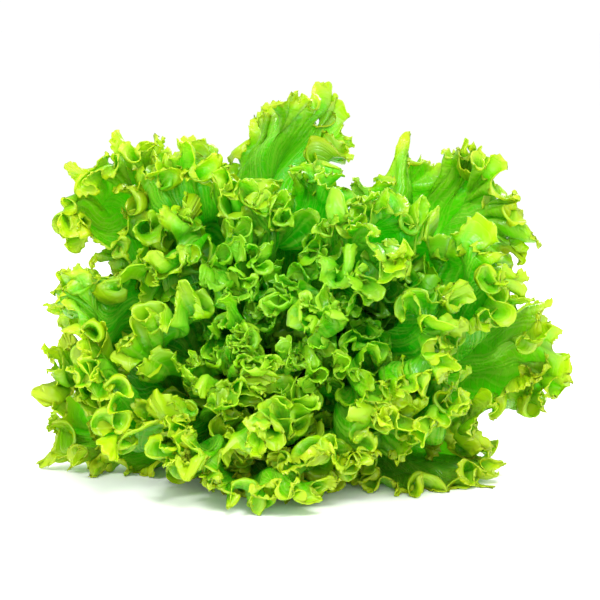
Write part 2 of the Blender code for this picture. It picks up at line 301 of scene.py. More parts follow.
def frill(leaf, across, depth):
    """How the edge curls: the rise off the leaf, the draw back from the rim and the swell along it."""
    draw = random.Random(leaf.seed)
    lean = [draw.uniform(0, 2 * math.pi) for _ in range(6)]
    phase = math.pi * leaf.waves * across + lean[0]
    phase = phase + 0.9 * np.sin(2.3 * across + lean[1]) + 0.6 * np.sin(5.7 * across + lean[2])
    strength = 0.95 + 0.2 * np.sin(4.1 * across + lean[3]) + 0.12 * np.sin(9.7 * across + lean[4])
    crest = np.cos(phase) * strength
    sway = np.cos(phase / 3.3 + lean[5])
    inside = np.clip(1 - depth / leaf.frill_band, 0, None)
    rise, back = np.zeros_like(across), np.zeros_like(across)
    for i in range(FRILL_STEPS):
        share = (i + 0.5) / FRILL_STEPS * inside
        length = inside * leaf.frill_band / FRILL_STEPS
        full = FRILL_BEND * share + FLARE_BEND * ease_in(4 * share - 3)
        bend = crest * full + sway * SWAY_BEND * share
        usual = 0.72 * full
        rise += np.sin(bend) * length
        back += (1 - (0.2 * np.cos(bend) + 0.8 * np.cos(usual))) * length
    wave = 2 * RIM_TURN * leaf.half_width / leaf.waves
    swell = SWELL * wave * np.sin(2 * phase) * inside**1.6
    return rise, back, swell


def half_width_at(leaf, y):
    """The most that a leaf reaches to each side at a distance y from its root, never less than it does."""
    waist, low = WAIST * leaf.length, LOBE_LOW * leaf.length
    above = np.clip((y - waist) / (leaf.length - waist), 0, 1)
    below = np.clip(y / low, 0, 1)
    return leaf.half_width * np.where(y > waist, np.sqrt(1 - above**2), 0.2 + 0.8 * below)


def midrib_turn(leaf, y):
    """The turn of a leaf's midrib, which sweeps to one side towards the tip."""
    return math.radians(leaf.turn) + leaf.sweep * ease_in(y / leaf.length)


def room_to_wave(leaf, leaves, turn, y):
    """How far, in layers, a leaf may wave at each point before the leaves that lie over or under it."""
    room = np.full_like(y, OPEN_ROOM)
    levels = np.linspace(0, LONGEST_LEAF, PLACES_ALONG)
    for other in leaves:
        if other is leaf:
            continue
        centre = midrib_turn(other, y)
        _, around = place_on_layer(np.full_like(levels, other.layer), levels, midrib_turn(other, levels))
        around = np.interp(y, levels, around)
        reach = WRAP_LIMIT * np.tanh(half_width_at(other, y) / around / WRAP_LIMIT)
        apart = np.abs(np.mod(turn - centre + math.pi, 2 * math.pi) - math.pi)
        beside = (apart - reach) * around - EDGE_SPARE
        beyond = y - other.length - EDGE_SPARE
        clear = ease_in(np.maximum(beside, beyond) / EDGE_EASE)
        gap = GAP_SHARE * abs(leaf.layer - other.layer)
        room = np.minimum(room, gap + OPEN_ROOM * clear)
    return room


def leaf_points(leaf, leaves, across, out):
    """The leaf's sheet in place on the head, for points across (-1 to 1) and out (0 root to 1 rim)."""
    x, y, column = laid_flat(leaf, across, out)
    x_out, y_out, _ = laid_flat(leaf, across, out + NUDGE)
    x_side, y_side, _ = laid_flat(leaf, across + NUDGE, out)
    outward = np.stack([x_out - x, y_out - y])
    outward /= np.linalg.norm(outward, axis=0) + 1e-12
    sideways = np.stack([x_side - x, y_side - y])
    sideways /= np.linalg.norm(sideways, axis=0) + 1e-12
    rise, back, swell = frill(leaf, across, (1 - out) * column)
    x = x - back * outward[0] + swell * sideways[0]
    y = np.clip(y - back * outward[1] + swell * sideways[1], 0, None)
    layer = np.full_like(x, leaf.layer)
    turn = midrib_turn(leaf, y)
    _, around = place_on_layer(layer, y, turn)
    wrap = WRAP_LIMIT * np.tanh(x / np.maximum(around, NEAREST_AXIS) / WRAP_LIMIT)
    turn = turn + wrap
    above, _ = place_on_layer(layer + LAYER_NUDGE, y, turn)
    below, _ = place_on_layer(layer - LAYER_NUDGE, y, turn)
    spread = np.linalg.norm(above - below, axis=1) / (2 * LAYER_NUDGE)
    room = np.minimum(room_to_wave(leaf, leaves, turn, y), TALLEST_CREST / spread)
    tallest = RISE_SHARE * leaf.frill_band / np.maximum(spread, 1e-3)
    drift = rise / np.maximum(spread, 1e-3) / (1 + (tallest / room) ** 4) ** 0.25
    points, _ = place_on_layer(layer - drift, y, turn)
    return points


def thickness_of(leaf, across, out):
    """The leaf's thickness: a stout midrib at the root thinning to the blade."""
    x, _, _ = laid_flat(leaf, across, out)
    rib = RIB_INNER + (RIB_OUTER - RIB_INNER) * leaf.layer
    fade = np.clip(1 - out / RIB_END, 0, 1)
    over_rib = np.exp(-((x / (RIB_SPREAD * stalk_half_width(leaf))) ** 2))
    return BLADE + (rib - BLADE) * fade * over_rib


# The finer crumples of a crisp leaf, which all leaves share as they do the large ones, and which ease off at
# the floor and at the very top. Each has a wave, a height, a shift and the three ways that its waves run.
CRIMPS = (
    (0.052, 0.0066, 1.0, (0.4, 2.3, 1.2)),
    (0.033, 0.0010, 2.5, (2.0, 0.9, 2.6)),
)
CRIMP_LIFT = 0.04
CRIMP_TOP = 0.17
CRIMP_TOP_EASE = 0.05
CRIMP_TOP_LOSS = 0.85


def crimped(points, out):
    """Points moved by finer waves across each other."""
    held = ease_in((out - CRUMPLE_FROM) / CRUMPLE_EASE) * ease_in(points[:, 2] / CRIMP_LIFT)
    held = held * (1 - CRIMP_TOP_LOSS * ease_in((points[:, 2] - CRIMP_TOP) / CRIMP_TOP_EASE))
    x, y, z = (points - CUT_CENTRE).T
    for wave, height, shift, ways in CRIMPS:
        k = 2 * math.pi / wave
        (c1, c2, c3), (s1, s2, s3) = np.cos(ways), np.sin(ways)
        x = x + height * held * np.sin(k * (c1 * y + s1 * z) + shift)
        y = y + height * held * np.sin(k * (c2 * z + s2 * x) + 2 * shift)
        z = z + height * held * np.sin(k * (c3 * x + s3 * y) + 3 * shift)
    return np.stack([x, y, z], -1) + CUT_CENTRE


# The leaf's sheet as a mesh: rows out from the stalk in five bands, each with twice the columns of the band
# inside it, so that the rim has points enough for its frills and teeth. Each point keeps its place on the
# leaf, and how far inside the head it lies, which sets the painted shade: a deep green painted into the
# colour there, in place of the shade where only light filtered green through other leaves reaches.
BANDS = (0.0, 0.60, 0.82, 0.93, 0.975, 1.0)
EVENNESS = 0.8
RIM_PLACES = 2400
SEED_STEP = 1.7
SEED_ROUND = 40
FRILL_LEANS = ((0.021, 1.1), (0.0083, 0.8))
FRILL_UNEVEN = 0.017
FRILL_USUAL = 0.85
FRILL_VARIES = 0.35
PATTERN_STEP = 0.05
TONE_SEED = 100
HEAD_MIDDLE = np.array([0.0, 0.0, 0.10])
HEAD_REACH = np.array([0.150, 0.135, 0.115])
PAINTED_SHADE_FROM = 0.94
PAINTED_SHADE_EASE = 0.44


def leaf_sheet(columns, rows):
    """The sheet's points as across and out, its faces, and the rows and columns of its bands."""
    grids, numbers, faces, used = [], [], [], 0
    for band, count in enumerate(rows):
        low, high = BANDS[band], BANDS[band + 1]
        outs = np.linspace(low, high, count + 1)
        if band:
            outs = outs + (high - low) / (count + 1) * np.linspace(1, 0, count + 1)
        grid = np.stack(np.meshgrid(np.linspace(-1, 1, columns * 2**band + 1), outs), -1)
        own = used + np.arange(grid.shape[0] * grid.shape[1]).reshape(grid.shape[:2])
        used = own[-1, -1] + 1
        corners = [own[:-1, :-1], own[:-1, 1:], own[1:, 1:], own[1:, :-1]]
        faces += np.stack(corners, -1).reshape(-1, 4).tolist()
        if band:
            faces += faces_between(numbers[-1][-1], own[0])
        grids.append(grid)
        numbers.append(own)
    across, out = np.concatenate([grid.reshape(-1, 2) for grid in grids]).T
    return across, out, faces, [grid.shape[:2] for grid in grids]


def faces_between(last, first):
    """The faces from the last row of a band to the first row of the next, which has twice its columns."""
    faces = []
    for i in range(len(last) - 1):
        faces.append([last[i], first[2 * i + 1], first[2 * i]])
        faces.append([last[i], last[i + 1], first[2 * i + 1]])
        faces.append([last[i + 1], first[2 * i + 2], first[2 * i + 1]])
    return faces


def keep(mesh, name, values):
    """A number or a vector for each point of a mesh."""
    values = values.astype(np.float32)
    if values.ndim == 1:
        mesh.attributes.new(name, "FLOAT", "POINT").data.foreach_set("value", values)
    else:
        mesh.attributes.new(name, "FLOAT_VECTOR", "POINT").data.foreach_set("vector", values.ravel())


def along_path(steps):
    """The distance along a path at each of its points."""
    return np.concatenate([[0], np.cumsum(steps)])


def edge_seed(leaf):
    """Where a leaf begins on the uneven waves of its edge."""
    return SEED_STEP * (leaf.seed % SEED_ROUND)


def rim_lengths(leaf, leaves, edge):
    """Places across a leaf and how far along the rim each is, without and with the small frills."""
    across = np.linspace(-1, 1, RIM_PLACES)
    _, y, _ = laid_flat(leaf, across, np.ones_like(across))
    rim = crimped(leaf_points(leaf, leaves, across, np.ones_like(across)), y)
    plain = along_path(np.linalg.norm(np.diff(rim, axis=0), axis=1))
    phase = 2 * math.pi * plain / edge["Frill length"]
    for size, amount in FRILL_LEANS:
        phase = phase + amount * np.sin(plain / size + edge_seed(leaf))
    strength = FRILL_USUAL + FRILL_VARIES * np.sin(plain / FRILL_UNEVEN + edge_seed(leaf))
    rise = edge["Frill height"] * strength * np.cos(phase)
    swell = edge["Frill length"] * edge["Swell"] * np.sin(2 * phase)
    return across, plain, along_path(np.hypot(np.diff(plain) + np.diff(swell), np.diff(rise)))


def way_out(points, bands):
    """The direction towards the rim at each point of a sheet."""
    ways, start = [], 0
    for rows, columns in bands:
        grid = points[start : start + rows * columns].reshape(rows, columns, 3)
        ways.append(np.gradient(grid, axis=0).reshape(-1, 3))
        start += rows * columns
    ways = np.concatenate(ways)
    return ways / (np.linalg.norm(ways, axis=1, keepdims=True) + 1e-12)


def sheet_mesh(leaf, leaves, sheet, edge):
    """A leaf's sheet in place, its columns even along the frilled rim, and its thickness at each point."""
    column_at, out, faces, bands = sheet
    places, plain, frilled = rim_lengths(leaf, leaves, edge)
    even = EVENNESS * (2 * frilled / frilled[-1] - 1) + (1 - EVENNESS) * places
    across = np.interp(column_at, even, places)
    x, y, column = laid_flat(leaf, across, out)
    x_side, y_side, _ = laid_flat(leaf, across + NUDGE, out)
    points = crimped(leaf_points(leaf, leaves, across, out), y)
    from_middle = np.linalg.norm((points - HEAD_MIDDLE) / HEAD_REACH, axis=1)
    mesh = bpy.data.meshes.new(leaf.name)
    mesh.from_pydata(points.tolist(), [], faces)
    keep(mesh, "rim", np.interp(across, places, plain))
    keep(mesh, "frilled_rim", np.interp(across, places, frilled))
    keep(mesh, "depth", (1 - out) * column)
    keep(mesh, "outward", way_out(points, bands))
    keep(mesh, "across", across)
    keep(mesh, "out", out)
    keep(mesh, "span", np.hypot(x_side - x, y_side - y) / NUDGE)
    keep(mesh, "flat", np.stack([x, y, np.full_like(x, PATTERN_STEP * leaf.seed)], -1))
    # How far inside the head each point lies: the mask of the painted shade, deep green painted into the
    # colour there.
    keep(mesh, "inside", np.clip((PAINTED_SHADE_FROM - from_middle) / PAINTED_SHADE_EASE, 0, 1))
    keep(mesh, "tone", np.full_like(x, random.Random(leaf.seed + TONE_SEED).uniform(0, 1)))
    mesh.shade_smooth()
    return mesh, thickness_of(leaf, across, out)


# The edge that every leaf carries, made by one tree of nodes. The rim waves in small frills and fine ruffles
# and is bitten into teeth, the crisp blade swells in blisters, and the low leaves lie on the floor.
RUFFLE_WAVE = 0.0085
RUFFLE_LEAN = 1.4
RUFFLE_LEANS_A_METRE = 97.0
RUFFLE_DEPTH = 0.009
BLISTER_SOFTNESS = 0.35
BLISTER_EDGE = 0.45
BLISTER_GROWTH = 1.8
TEETH_UNEVEN = 0.013
TEETH_DRIFT = 7.0
BITE_USUAL = 0.3
BITE_VARIES = -2.6
BITE_DEPTH = 0.006
FLOOR_GAP = 0.0008
EDGE_SIZES = (
    "Frill length",
    "Frill height",
    "Frill depth",
    "Swell",
    "Ruffle height",
    "Tooth length",
    "Tooth depth",
    "Blister size",
    "Blister height",
    "Seed",
)


def add_node(tree, kind, values=None, **settings):
    """The first output of a new node, its inputs given as numbers or as outputs of other nodes."""
    node = tree.nodes.new(kind)
    for name, value in settings.items():
        setattr(node, name, value)
    for socket, value in (values or {}).items():
        if isinstance(value, bpy.types.NodeSocket):
            tree.links.new(value, node.inputs[socket])
        else:
            node.inputs[socket].default_value = value
    return node.outputs[0]


def reckon(tree, operation, *values):
    """A sum worked out with numbers."""
    return add_node(tree, "ShaderNodeMath", dict(enumerate(values)), operation=operation)


def scaled(tree, vector, amount):
    """A vector times a number."""
    return add_node(tree, "ShaderNodeVectorMath", {0: vector, 3: amount}, operation="SCALE")


def added(tree, first, second):
    """One vector and another."""
    return add_node(tree, "ShaderNodeVectorMath", {0: first, 1: second}, operation="ADD")


def noise_at(tree, place, size, detail=1.0):
    """Soft noise, mostly within -1 to 1, with lumps of a size in metres."""
    noise = add_node(tree, "ShaderNodeTexNoise", {"Vector": place, "Scale": 1 / size, "Detail": detail})
    return reckon(tree, "MULTIPLY", reckon(tree, "SUBTRACT", noise, 0.5), 3.0)


def stored(tree, name, kind="FLOAT"):
    """What each point of the mesh keeps under a name."""
    return add_node(tree, "GeometryNodeInputNamedAttribute", {"Name": name}, data_type=kind)


def new_tree(name, shape, sizes):
    """An empty tree that shapes a mesh, with its sizes and its finish as inputs, and the inputs by name."""
    tree = bpy.data.node_groups.new(name, "GeometryNodeTree")
    kinds = {shape: "Geometry", **dict.fromkeys(sizes, "Float"), "Finish": "Material"}
    sockets = {}
    for socket, kind in kinds.items():
        sockets[socket] = tree.interface.new_socket(socket, in_out="INPUT", socket_type=f"NodeSocket{kind}")
    tree.interface.new_socket(shape, in_out="OUTPUT", socket_type="NodeSocketGeometry")
    return tree, sockets


def end_tree(tree, shape, finish):
    """The end of a tree: its shape made real, with the finish on it."""
    whole = add_node(tree, "GeometryNodeRealizeInstances", {"Geometry": shape})
    finished = add_node(tree, "GeometryNodeSetMaterial", {"Geometry": whole, "Material": finish})
    tree.links.new(finished, tree.nodes.new("NodeGroupOutput").inputs[0])


def fading_in(tree, depth, reach):
    """One at the rim, and less and less to nothing at a depth in from it."""
    share = reckon(tree, "SUBTRACT", 1.0, reckon(tree, "DIVIDE", depth, reach))
    return reckon(tree, "MAXIMUM", share, 0.0)


def frills(tree, rim, depth, given):
    """The small frills: the rise off the leaf, the draw back from the rim and the swell along it."""
    phase = reckon(tree, "MULTIPLY", reckon(tree, "DIVIDE", rim, given["Frill length"]), 2 * math.pi)
    for size, amount in FRILL_LEANS:
        lean = reckon(tree, "SINE", reckon(tree, "MULTIPLY_ADD", rim, 1 / size, given["Seed"]))
        phase = reckon(tree, "MULTIPLY_ADD", lean, amount, phase)
    uneven = reckon(tree, "SINE", reckon(tree, "MULTIPLY_ADD", rim, 1 / FRILL_UNEVEN, given["Seed"]))
    strength = reckon(tree, "MULTIPLY_ADD", uneven, FRILL_VARIES, FRILL_USUAL)
    crest = reckon(tree, "MULTIPLY", reckon(tree, "COSINE", phase), strength)
    near_rim = fading_in(tree, depth, given["Frill depth"])
    rise = reckon(tree, "MULTIPLY", crest, reckon(tree, "POWER", near_rim, 1.5))
    rise = reckon(tree, "MULTIPLY", rise, given["Frill height"])
    drawn = reckon(tree, "MULTIPLY_ADD", reckon(tree, "MULTIPLY", crest, crest), 0.5, 0.5)
    drawn = reckon(tree, "MULTIPLY", drawn, reckon(tree, "POWER", near_rim, 2.0))
    drawn = reckon(tree, "MULTIPLY", drawn, reckon(tree, "MULTIPLY", given["Frill height"], -0.5))
    swell = reckon(tree, "SINE", reckon(tree, "MULTIPLY", phase, 2.0))
    swell = reckon(tree, "MULTIPLY", swell, reckon(tree, "POWER", near_rim, 1.6))
    swell = reckon(tree, "MULTIPLY", swell, reckon(tree, "MULTIPLY", given["Frill length"], given["Swell"]))
    return rise, drawn, swell


def ruffles(tree, rim, depth, given):
    """The fine ruffles along the very edge."""
    lean = reckon(tree, "SINE", reckon(tree, "MULTIPLY", rim, RUFFLE_LEANS_A_METRE))
    phase = reckon(tree, "MULTIPLY_ADD", rim, 2 * math.pi / RUFFLE_WAVE, given["Seed"])
    phase = reckon(tree, "MULTIPLY_ADD", lean, RUFFLE_LEAN, phase)
    share = reckon(tree, "POWER", fading_in(tree, depth, RUFFLE_DEPTH), 1.4)
    return reckon(tree, "MULTIPLY", reckon(tree, "SINE", phase), share)


def blisters(tree, given):
    """The soft lumps that the blade swells in, which are smaller near the root."""
    size = reckon(tree, "DIVIDE", 1.0, given["Blister size"])
    cells = {"Vector": stored(tree, "flat", "FLOAT_VECTOR"), "Scale": size, "Smoothness": BLISTER_SOFTNESS}
    away = add_node(tree, "ShaderNodeTexVoronoi", cells, feature="SMOOTH_F1")
    lump = reckon(tree, "SUBTRACT", BLISTER_EDGE, away)
    grown = reckon(tree, "MINIMUM", reckon(tree, "MULTIPLY", stored(tree, "out"), BLISTER_GROWTH), 1.0)
    return reckon(tree, "MULTIPLY", reckon(tree, "MULTIPLY", lump, grown), given["Blister height"])


def bites(tree, depth, given):
    """How far the rim is bitten in between its teeth."""
    frilled = stored(tree, "frilled_rim")
    noise = {"W": frilled, "Scale": 1 / TEETH_UNEVEN, "Detail": 1.0}
    uneven = add_node(tree, "ShaderNodeTexNoise", noise, noise_dimensions="1D")
    teeth_at = reckon(tree, "DIVIDE", reckon(tree, "MULTIPLY", frilled, math.pi), given["Tooth length"])
    teeth_at = reckon(tree, "ADD", teeth_at, reckon(tree, "MULTIPLY_ADD", uneven, TEETH_DRIFT, given["Seed"]))
    bite = reckon(tree, "ABSOLUTE", reckon(tree, "SINE", teeth_at))
    bite = reckon(tree, "MULTIPLY", bite, reckon(tree, "MULTIPLY_ADD", uneven, BITE_VARIES, BITE_USUAL))
    bite = reckon(tree, "MULTIPLY", bite, fading_in(tree, depth, BITE_DEPTH))
    return reckon(tree, "MULTIPLY", bite, given["Tooth depth"])


def laid_on_floor(tree, blade):
    """The blade with every point of it lifted clear of the floor."""
    place = tree.nodes.new("ShaderNodeSeparateXYZ")
    tree.links.new(add_node(tree, "GeometryNodeInputPosition"), place.inputs[0])
    height = reckon(tree, "MAXIMUM", place.outputs["Z"], FLOOR_GAP)
    lifted = {0: place.outputs["X"], 1: place.outputs["Y"], 2: height}
    above = add_node(tree, "ShaderNodeCombineXYZ", lifted)
    return add_node(tree, "GeometryNodeSetPosition", {"Geometry": blade, "Position": above})


def build_leaf_edge(tree):
    """Joins the tree: frills, ruffles, blisters and teeth, and then the floor that the leaf lies on."""
    given = tree.nodes.new("NodeGroupInput").outputs
    rim, depth = stored(tree, "rim"), stored(tree, "depth")
    outward = stored(tree, "outward", "FLOAT_VECTOR")
    normal = add_node(tree, "GeometryNodeInputNormal")
    sideways = add_node(tree, "ShaderNodeVectorMath", {0: outward, 1: normal}, operation="CROSS_PRODUCT")
    rise, drawn, swell = frills(tree, rim, depth, given)
    rise = reckon(tree, "MULTIPLY_ADD", ruffles(tree, rim, depth, given), given["Ruffle height"], rise)
    rise = reckon(tree, "ADD", rise, blisters(tree, given))
    along_out = reckon(tree, "ADD", drawn, bites(tree, depth, given))
    shift = added(tree, scaled(tree, normal, rise), scaled(tree, outward, along_out))
    shift = added(tree, shift, scaled(tree, sideways, swell))
    moved = add_node(tree, "GeometryNodeSetPosition", {"Geometry": given["Leaf"], "Offset": shift})
    end_tree(tree, laid_on_floor(tree, moved), given["Finish"])


leaf_edge, edge_sockets = new_tree("leaf_edge", "Leaf", EDGE_SIZES)
build_leaf_edge(leaf_edge)


def add_tree(piece, tree, sockets, values):
    """The tree on a piece, each of its inputs set by the socket's identifier."""
    modifier = piece.modifiers.new(tree.name, "NODES")
    modifier.node_group = tree
    for name, value in values.items():
        modifier[sockets[name].identifier] = value


def make_plain(piece):
    """The piece's modifiers turned into a plain mesh."""
    evaluated = piece.evaluated_get(bpy.context.evaluated_depsgraph_get())
    made = bpy.data.meshes.new_from_object(evaluated)
    piece.modifiers.clear()
    piece.data = made


def grow_leaf(leaf, leaves, sheet, edge, finish):
    """One leaf as a closed thin blade, which stands for the leaf's plain solid."""
    mesh, thick = sheet_mesh(leaf, leaves, sheet, edge)
    piece = add_object(f"{leaf.name}_blade", mesh)
    weights = piece.vertex_groups.new(name="thickness")
    for index, value in enumerate(thick / thick.max()):
        weights.add([index], float(value), "REPLACE")
    add_tree(piece, leaf_edge, edge_sockets, {**edge, "Seed": edge_seed(leaf), "Finish": finish})
    wall = piece.modifiers.new("wall", "SOLIDIFY")
    wall.thickness = float(thick.max())
    wall.offset = -1.0
    wall.vertex_group = weights.name
    wall.thickness_vertex_group = 0.0
    make_plain(piece)
    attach(piece, "root")
    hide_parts(leaf.name)


# The leaf's flesh: a thin wet skin that shines and lets light through, with a pale midrib, side veins that
# fan out and fork, and a fine net between them. Its colour runs from yellow green at the rim to a deeper
# green towards the middle, partly the leaf's own colour and partly painted light at the rim and painted shade
# in the middle.
# Painted shade: deep inside the head the leaf's colour is painted a dark pure green, a little less at the
# rim, in place of the shade that falls there.
PAINTED_SHADE_GREEN = (0.004, 0.42, 0.0005)
PAINTED_SHADE_INSIDE = 0.94
PAINTED_SHADE_AT_RIM = -0.20
# Each set of side veins: how many lie side by side, their shift, how far out they begin and their width.
SIDE_VEINS = ((7, 0.0, 0.0, 0.0011), (14, 0.5, 0.42, 0.0007), (28, 0.5, 0.66, 0.0005))
VEIN_EASE = 0.12
VEIN_CORE = 0.25
VEIN_WANDER = 0.012
VEIN_WANDER_SIZE = 0.02
NET_CELL = 0.0042
NET_LINE = (0.02, 0.13)
BLOTCH_SIZE = 0.022
BLOTCH_REACH = 0.004
# How far in from the rim the yellow edge and the middle green reach; the yellow edge is partly painted light
# and the deep green beyond partly painted shade, besides the leaf's own colour.
RIM_BAND = 0.017
MIDDLE_BAND = (0.022, 0.055)
MIDRIB_OUT = (0.05, 0.30)
MIDRIB_ACROSS = (0.10, 0.45)
TONE_SHARE = 0.15
NET_SHARE = 0.12
VEIN_SHARE = 0.28
ROUGHNESS = (0.20, 0.38)
GRAIN_SIZE = 0.0016
GRAIN_RELIEF = 0.12
NET_RELIEF = -0.5
SKIN_RELIEF = 0.0006
SKIN_STRENGTH = 0.5
VEIN_SHADE = 0.4
RIM_GLOW = 0.55
THROUGH_SHARE = 0.46


@dataclass
class Greens:
    """A leaf's colours: deep in it (partly painted shade), further out, at its edge (partly painted light),
    its veins and the light through it.
    """

    deep: tuple
    middle: tuple
    edge: tuple
    veins: tuple
    through: tuple


def read(tree, attribute, output="Fac"):
    """What the mesh keeps under a name, for a material."""
    node = tree.nodes.new("ShaderNodeAttribute")
    node.attribute_name = attribute
    return node.outputs[output]


def between(tree, value, low, high, start=0.0, end=1.0):
    """A smooth step from start to end as a value goes from low to high."""
    values = {"Value": value, "From Min": low, "From Max": high, "To Min": start, "To Max": end}
    return add_node(tree, "ShaderNodeMapRange", values, interpolation_type="SMOOTHSTEP")


def mixed(tree, share, first, second):
    """A share of the second colour in the first."""
    node = tree.nodes.new("ShaderNodeMix")
    node.data_type = "RGBA"
    tree.links.new(share, node.inputs[0])
    for socket, colour in ((6, first), (7, second)):
        if isinstance(colour, bpy.types.NodeSocket):
            tree.links.new(colour, node.inputs[socket])
        else:
            node.inputs[socket].default_value = (*colour, 1.0)
    return node.outputs[2]


def side_veins(tree, flat, out, across):
    """The side veins, which fan out from the midrib and fork twice: 1 on a vein and 0 beside it."""
    wander = reckon(tree, "MULTIPLY", noise_at(tree, flat, VEIN_WANDER_SIZE), VEIN_WANDER)
    fan = reckon(tree, "ADD", across, wander)
    span = read(tree, "span")
    veins = 0.0
    for count, shift, begins, width in SIDE_VEINS:
        place = reckon(tree, "MULTIPLY_ADD", fan, float(count), shift)
        nearest = reckon(tree, "ABSOLUTE", reckon(tree, "SUBTRACT", reckon(tree, "FRACT", place), 0.5))
        nearest = reckon(tree, "SUBTRACT", 0.5, nearest)
        away = reckon(tree, "MULTIPLY", nearest, reckon(tree, "DIVIDE", span, float(count)))
        vein = between(tree, away, VEIN_CORE * width, width, 1.0, 0.0)
        grown = between(tree, out, begins, begins + VEIN_EASE)
        veins = reckon(tree, "MAXIMUM", veins, reckon(tree, "MULTIPLY", vein, grown))
    return veins


def vein_net(tree, flat):
    """The fine net of veins: 1 on its lines and 0 in its meshes."""
    cells = {"Vector": flat, "Scale": 1 / NET_CELL}
    away = add_node(tree, "ShaderNodeTexVoronoi", cells, feature="DISTANCE_TO_EDGE")
    return between(tree, away, *NET_LINE, 1.0, 0.0)


def midrib(tree, out, across):
    """The pale midrib: 1 at the root and on the middle line, and 0 out in the blade."""
    by_root = between(tree, out, *MIDRIB_OUT, 1.0, 0.0)
    by_rib = between(tree, reckon(tree, "ABSOLUTE", across), *MIDRIB_ACROSS, 1.0, 0.0)
    return reckon(tree, "MULTIPLY", by_root, by_rib)


def leaf_colour(tree, greens, from_rim, at_rim, painted_shade, lines):
    """The colour of a leaf's skin from the rim in, with painted shade of deep green inside the head, the
    veins and the midrib over it.
    """
    veins, net, rib = lines
    tone = reckon(tree, "MULTIPLY", read(tree, "tone"), TONE_SHARE)
    # From the rim in: a yellow edge, partly painted light, to a dark deep green, partly painted shade.
    colour = mixed(tree, between(tree, from_rim, *MIDDLE_BAND), greens.middle, greens.deep)
    colour = mixed(tree, at_rim, colour, greens.edge)
    colour = mixed(tree, tone, colour, greens.edge)
    # Painted shade: deep green painted over the colour inside the head.
    colour = mixed(tree, painted_shade, colour, PAINTED_SHADE_GREEN)
    colour = mixed(tree, reckon(tree, "MULTIPLY", net, NET_SHARE), colour, greens.veins)
    colour = mixed(tree, reckon(tree, "MULTIPLY", veins, VEIN_SHARE), colour, greens.veins)
    return mixed(tree, rib, colour, [0.5 + 0.5 * value for value in greens.veins])


def light_through(tree, greens, at_rim, painted_shade, veins, net):
    """The colour of the light that comes through a leaf, which its veins shade."""
    shade = reckon(tree, "MULTIPLY", reckon(tree, "MAXIMUM", veins, net), VEIN_SHADE)
    through = mixed(tree, shade, greens.through, greens.veins)
    through = mixed(tree, reckon(tree, "MULTIPLY", at_rim, RIM_GLOW), through, greens.edge)
    # Inside the head, where the painted shade lies, the light through loses the rim's yellow.
    return mixed(tree, painted_shade, through, greens.through)


def skin_relief(tree, flat, veins, net):
    """The relief of a leaf's skin: a fine grain, and veins and their net sunk in it."""
    relief = reckon(tree, "MULTIPLY", net, NET_RELIEF)
    relief = reckon(tree, "MULTIPLY_ADD", noise_at(tree, flat, GRAIN_SIZE, 2.0), GRAIN_RELIEF, relief)
    relief = reckon(tree, "SUBTRACT", relief, veins)
    bump = {"Strength": SKIN_STRENGTH, "Distance": SKIN_RELIEF, "Height": relief}
    return add_node(tree, "ShaderNodeBump", bump)


def leaf_finish(name, greens):
    """A leaf's material, from its colours."""
    made, tree, skin = new_material(name)
    flat, out, across = read(tree, "flat", "Vector"), read(tree, "out"), read(tree, "across")
    veins, net = side_veins(tree, flat, out, across), vein_net(tree, flat)
    blotch = noise_at(tree, flat, BLOTCH_SIZE, 3.0)
    from_rim = reckon(tree, "MULTIPLY_ADD", blotch, BLOTCH_REACH, read(tree, "depth"))
    at_rim = between(tree, from_rim, 0.0, RIM_BAND, 1.0, 0.0)
    # Painted shade: the share of deep green painted into the colour, full inside the head and less at the
    # rim.
    painted_shade = reckon(tree, "MULTIPLY_ADD", at_rim, PAINTED_SHADE_AT_RIM, PAINTED_SHADE_INSIDE)
    painted_shade = reckon(tree, "MULTIPLY", read(tree, "inside"), painted_shade)
    colour = leaf_colour(tree, greens, from_rim, at_rim, painted_shade, (veins, net, midrib(tree, out, across)))
    through = light_through(tree, greens, at_rim, painted_shade, veins, net)
    normal = skin_relief(tree, flat, veins, net)
    tree.links.new(colour, skin.inputs["Base Color"])
    tree.links.new(between(tree, blotch, -1, 1, *ROUGHNESS), skin.inputs["Roughness"])
    skin.inputs["Specular IOR Level"].default_value = 0.5
    tree.links.new(normal, skin.inputs["Normal"])
    flesh = add_node(tree, "ShaderNodeBsdfTranslucent", {"Color": through, "Normal": normal})
    both = add_node(tree, "ShaderNodeMixShader", {0: THROUGH_SHARE, 1: skin.outputs[0], 2: flesh})
    tree.links.new(both, tree.nodes["Material Output"].inputs["Surface"])
    return made


# The outer leaves: eight broad leaves on the outside of the head, which draw its outline. Each grows from
# the foot of the stem on a layer of its own. Their greens are painted lighter than the inner leaves', as
# painted light for the light that falls on them and shines through them from behind.
SEED = 21
# A leaf whose frill would fold through itself with the seed of its place has another one.
OTHER_SEEDS = {"leaf_30_inner": 44}
FRILL_SHARE = 0.32
LEAF_SWEEP = math.radians(14)
WAVE_LENGTH_OUTER = 0.034
WAVE_LENGTH_INNER = 0.023
# Each outer leaf's name, turn clockwise from the top in degrees, layer, length and half width.
OUTER_LEAVES = (
    ("leaf_01_top", 7, 1.000, 0.194, 0.060),
    ("leaf_02_right_floor", 117, 0.970, 0.170, 0.052),
    ("leaf_03_top_right", 34, 0.940, 0.212, 0.064),
    ("leaf_04_left_floor", -114, 0.910, 0.152, 0.053),
    ("leaf_05_right", 87, 0.880, 0.172, 0.054),
    ("leaf_06_left", -86, 0.850, 0.164, 0.056),
    ("leaf_07_front_floor", 180, 0.820, 0.150, 0.053),
    ("leaf_08_upper_left", -33, 0.802, 0.205, 0.060),
)
OUTER_COUNT = len(OUTER_LEAVES)
INNER_COUNT = 27
INNER_FIRST_TURN = -74.3
GOLDEN_ANGLE = 137.508
TURN_UNEVEN = 6
LENGTH_UNEVEN = 0.05
INNER_LAYERS = (0.742, 0.06)
INNER_LENGTHS = (0.190, 0.128)
